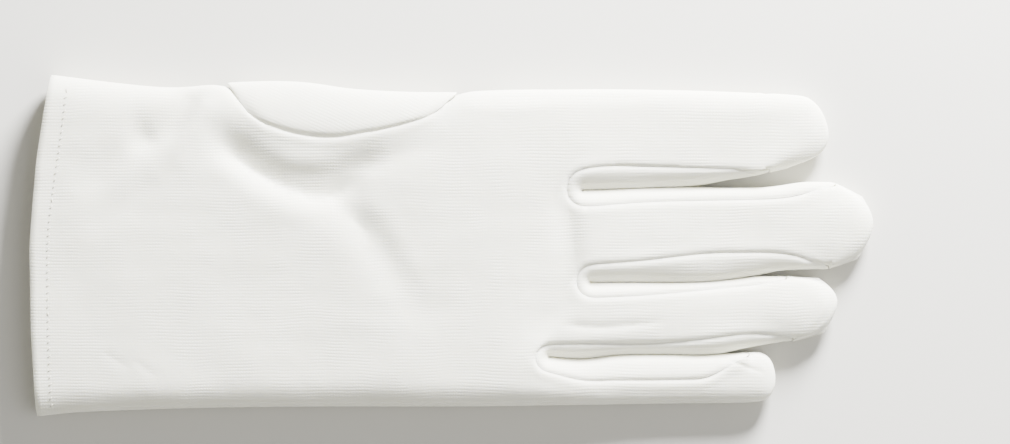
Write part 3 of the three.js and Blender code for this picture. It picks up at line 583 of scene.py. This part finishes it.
def undulation(place):
    """Soft unevenness of cloth that was folded and lies loosely."""
    broad = noise.noise(place / (21 * MM)) * 0.50 * MM
    along = noise.noise(Vector((place.x / (28 * MM), place.y / (5.5 * MM), 3.7))) * 0.13 * MM
    small = noise.noise(place / (6 * MM) + Vector((5.0, 1.0, 2.0))) * 0.05 * MM
    return broad + along + small


def sewn_line(shape):
    """The corners on the seams of a cloth's outer skin, and the pairs that are joined by an edge."""
    seam = shape.verts.layers.float["seam"]
    outer = shape.verts.layers.float["outer"]
    on_line = [corner for corner in shape.verts if corner[seam] > WHOLE and corner[outer] > WHOLE]
    known = set(on_line)
    pairs = [edge.verts[:] for edge in shape.edges if known.issuperset(edge.verts)]
    return on_line, pairs


sewn_lines = {name: sewn_line(cloths[name]) for name in ("trank", *STRIPS, "thumb")}
sewn_corners = [
    (tree_of([corner.co.copy() for corner in on_line]), [corner.normal.copy() for corner in on_line])
    for on_line, _ in sewn_lines.values()
]
all_strip_ends = [end for strip in STRIPS for end in strip_ends(cloths[strip])]
SAME_PLACE = 0.4 * MM


def way_to_strip_end(place):
    return min((place - end).length for end in all_strip_ends)


def sink_at(place):
    """Straight into the seam at a place: against the normals of all the cloths that meet there."""
    total = Vector((0.0, 0.0, 0.0))
    for tree, normals in sewn_corners:
        _, number, distance = tree.find(place)
        if distance < SAME_PLACE:
            total += normals[number]
    share = smooth_share((way_to_strip_end(place) - DEPTH_FADE_FROM) / DEPTH_FADE_OVER)
    return -total.normalized() * SEAM_DEPTH * (DEPTH_AT_ENDS + (1.0 - DEPTH_AT_ENDS) * share)


line_places, line_sinks = [], []
for name in ("trank", *STRIPS):
    on_line, pairs = sewn_lines[name]
    sinks = {corner: sink_at(corner.co) for corner in on_line}
    for start, end in [(corner, corner) for corner in on_line] + pairs:
        for share in (0.0,) if start is end else (0.2, 0.4, 0.6, 0.8):
            line_places.append(start.co.lerp(end.co, share))
            line_sinks.append(sinks[start].lerp(sinks[end], share))
seam_tree = tree_of(line_places)

# The mesh is made finer in two steps near the seams, and in the first also along the crisp folds.
FINER_STEPS = ((1.4 * MM, True), (0.7 * MM, False))
CRISP_BELOW = 1.5
CRISP_REACH = 1.1 * MM
OUTER_ENOUGH = 0.6
crisp_trees = [
    tree for fold, tree in zip(FOLDS, fold_trees) if min(fold.left, fold.right) < CRISP_BELOW
]


def near_detail(place, reach, folds_too):
    """Whether a place is near a seam, or near a narrow fold of the palm."""
    if seam_tree.find(place)[2] < reach:
        return True
    flat = Vector((place.x, place.y, 0.0))
    in_palm = folds_too and place.z > PALM_TO_Z
    return in_palm and any(tree.find(flat)[2] < CRISP_REACH for tree in crisp_trees)


for name in ("trank", *STRIPS):
    shape = cloths[name]
    outer = shape.verts.layers.float["outer"]
    for reach, folds_too in FINER_STEPS:
        near = {
            corner for corner in shape.verts
            if corner[outer] > OUTER_ENOUGH and near_detail(corner.co, reach, folds_too)
        }
        edges = [edge for edge in shape.edges if near.issuperset(edge.verts)]
        bmesh.ops.subdivide_edges(shape, edges=edges, cuts=1, use_grid_fill=True)
    shape.normal_update()

# A strip swells by its puff where it is free, and up to a small gap where another side faces it.
STRIP_PUFF = 0.21 * MM
STRIP_GAP = 0.10 * MM
STRIP_SWELL_LIMIT = 0.75 * MM
FREE_FROM = 1.6 * MM
FREE_OVER = 1.4 * MM
SIDEWAYS_FROM = 0.25
SIDEWAYS_OVER = 0.4
LOOK_FROM = 0.02 * MM
LOOK_REACH = 3 * MM
PUFF_FADE_FROM = 1 * MM
PUFF_FADE_OVER = 9 * MM
# The share of a corner's outer mark from which it starts to move, as the inner skin stays put.
OUTER_FROM = 0.375


def strip_puff(skin, corner):
    """How far a strip's cloth swells at a corner: up to the facing side, where that is close."""
    level = Vector((corner.normal.x, corner.normal.y, 0.0))
    if level.length < SIDEWAYS_FROM:
        return Vector((0.0, 0.0, 0.0))
    share = smooth_share((level.length - SIDEWAYS_FROM) / SIDEWAYS_OVER)
    level.normalize()
    hit, _, _, distance = skin.ray_cast(corner.co + level * LOOK_FROM, level, LOOK_REACH)
    amount = STRIP_PUFF
    if hit is not None:
        amount = min(max((distance - STRIP_GAP) / 2, 0.0), STRIP_SWELL_LIMIT)
        free = smooth_share((distance - FREE_FROM) / FREE_OVER)
        amount += (STRIP_PUFF - amount) * free
    amount *= smooth_share((way_to_strip_end(corner.co) - PUFF_FADE_FROM) / PUFF_FADE_OVER)
    return level * amount * share


for name, shape in cloths.items():
    outer = shape.verts.layers.float["outer"]
    skin = BVHTree.FromBMesh(shape) if name in STRIPS else None
    looseness = 0.5 if name == "thumb" else 1.0
    moves = []
    for corner in shape.verts:
        place = corner.co
        in_palm = smooth_share((place.z - PALM_FROM_Z) / (PALM_TO_Z - PALM_FROM_Z))
        lift = (fold_shift(place) + undulation(place) * looseness) * in_palm
        _, number, distance = seam_tree.find(place)
        sunk = line_sinks[number] * math.exp(-(distance / SEAM_WIDTH) ** 2)
        swollen = SWELL * math.exp(-((distance - SWELL_FROM_SEAM) / SWELL_WIDTH) ** 2)
        pucker = noise.noise(place / PUCKER_STEP) * PUCKER * math.exp(-(distance / PUCKER_REACH) ** 2)
        away = smooth_share(distance / (2 * SEAM_WIDTH))
        away *= smooth_share((corner[outer] - OUTER_FROM) / (1.0 - OUTER_FROM))
        puff = strip_puff(skin, corner) if skin else Vector((0.0, 0.0, 0.0))
        bulge = (corner.normal * (swollen + pucker) + puff) * away
        moves.append((corner, Vector((0.0, 0.0, lift)) + sunk + bulge))
    for corner, move in moves:
        corner.co += move
trank_skin = BVHTree.FromBMesh(cloths["trank"])
for name, shape in cloths.items():
    fill_piece(pieces[name], shape)

# The hem stitches: short white threads in a slanting row, pulled into the cloth on both sides of
# the wrist. They go through the trank and the turned-in hem.
HEM_LINE = (
    (-122, 51), (-123, 41), (-125, 26), (-127, 12), (-128, 0), (-128, -20), (-127.5, -38), (-127, -52),
)
STITCH_STEP = 2.1 * MM
STITCH_HALF = (0.80 * MM, 0.24 * MM, 0.20 * MM)
STITCH_TURN = 1.2
STITCH_BOW = 0.10 * MM
STITCH_SUNK = 0.05 * MM
STITCH_LEAN = -0.35
SLIPPED_LEAN = 0.45
SLIPPED_EVERY = 32
# The threads are white, but they are coloured grey here as painted shade, so that the stitches show as
# dark marks, the way their small shadows make them look.
THREAD_PAINTED_SHADE_COLOUR = (0.60, 0.58, 0.50)
PROBE_HEIGHT = 50 * MM


def plain_material(name, colour):
    material = bpy.data.materials.new(name)
    material.use_nodes = True
    inputs = material.node_tree.nodes["Principled BSDF"].inputs
    inputs["Base Color"].default_value = (*colour, 1.0)
    inputs["Roughness"].default_value = 0.8
    return material


def add_stitch(stitches, place, normal, lean):
    """One thread on the cloth: a small ball drawn out along the stitch and bowed off the cloth."""
    across = Vector((math.cos(STITCH_TURN + lean), math.sin(STITCH_TURN + lean), 0.0))
    side = normal.cross(across).normalized()
    across = side.cross(normal).normalized()
    ball = bmesh.ops.create_uvsphere(stitches, u_segments=8, v_segments=6, radius=1.0)
    for corner in ball["verts"]:
        at = corner.co
        bow = STITCH_BOW * (1.0 - at.x * at.x)
        corner.co = (
            place + across * (at.x * STITCH_HALF[0]) + side * (at.y * STITCH_HALF[1])
            + normal * (at.z * STITCH_HALF[2] + bow - STITCH_SUNK)
        )


stitches = bmesh.new()
stitch_count, walked, last = 0, 0.0, None
for place in curve_through(HEM_LINE, 60):
    walked += (place - last).length if last else 0.0
    last = place
    if walked < STITCH_STEP:
        continue
    walked = 0.0
    for from_z, down in ((PROBE_HEIGHT, -1.0), (-PROBE_HEIGHT, 1.0)):
        hit, normal, _, _ = trank_skin.ray_cast(Vector((place.x, place.y, from_z)), Vector((0, 0, down)))
        if hit is None:
            continue
        lean = SLIPPED_LEAN if stitch_count % SLIPPED_EVERY == 0 else STITCH_LEAN
        add_stitch(stitches, hit, normal, lean + 0.5 * noise.noise(hit * 900.0))
        stitch_count += 1
hem_stitches = new_piece("hem_stitches", plain_material("thread_painted_shade", THREAD_PAINTED_SHADE_COLOUR))
fill_piece(hem_stitches, stitches)

# The studio: a plain pale floor, one soft light from the upper right with a weak broad one to fill
# the shadows, and the camera straight above.
FLOOR_COLOUR = (0.60, 0.59, 0.55)
FLOOR_REACH = 3.0
SKY_COLOUR = (1.0, 0.985, 0.92, 1)
SKY_STRENGTH = 0.52
floor_shape = bmesh.new()
bmesh.ops.create_grid(floor_shape, x_segments=1, y_segments=1, size=FLOOR_REACH)
floor_mesh = bpy.data.meshes.new("floor")
floor_shape.to_mesh(floor_mesh)
floor_shape.free()
floor_mesh.materials.append(plain_material("floor_paint", FLOOR_COLOUR))
floor = bpy.data.objects.new("floor", floor_mesh)
bpy.context.scene.collection.objects.link(floor)

world = bpy.data.worlds.new("studio")
world.use_nodes = True
world.node_tree.nodes["Background"].inputs["Color"].default_value = SKY_COLOUR
world.node_tree.nodes["Background"].inputs["Strength"].default_value = SKY_STRENGTH
bpy.context.scene.world = world


def soft_light(name, place, size, power):
    """A round light in metres and watts that points at the glove."""
    data = bpy.data.lights.new(name, "AREA")
    data.shape = "DISK"
    data.size = size
    data.energy = power
    light = bpy.data.objects.new(name, data)
    bpy.context.scene.collection.objects.link(light)
    light.location = place
    light.rotation_euler = Vector(place).to_track_quat("Z", "Y").to_euler()


soft_light("key", place=(0.30, 0.62, 0.28), size=0.28, power=66.0)
soft_light("fill", place=(0.6, -0.2, 1.1), size=1.0, power=7.0)

# The view is as wide as the photo's 1010 pixels at 0.316 mm each, at the height of the palm.
VIEW_WIDTH = 319.2 * MM
VIEW_LEVEL = 8 * MM
CAMERA_HEIGHT = 1.2
SENSOR_WIDTH = 36.0
camera_data = bpy.data.cameras.new("camera")
camera = bpy.data.objects.new("camera", camera_data)
bpy.context.scene.collection.objects.link(camera)
camera.location = (16.0 * MM, 7.4 * MM, CAMERA_HEIGHT)
camera_data.sensor_width = SENSOR_WIDTH
camera_data.lens = SENSOR_WIDTH * (CAMERA_HEIGHT - VIEW_LEVEL) / VIEW_WIDTH
camera_data.clip_end = 20.0
bpy.context.scene.camera = camera
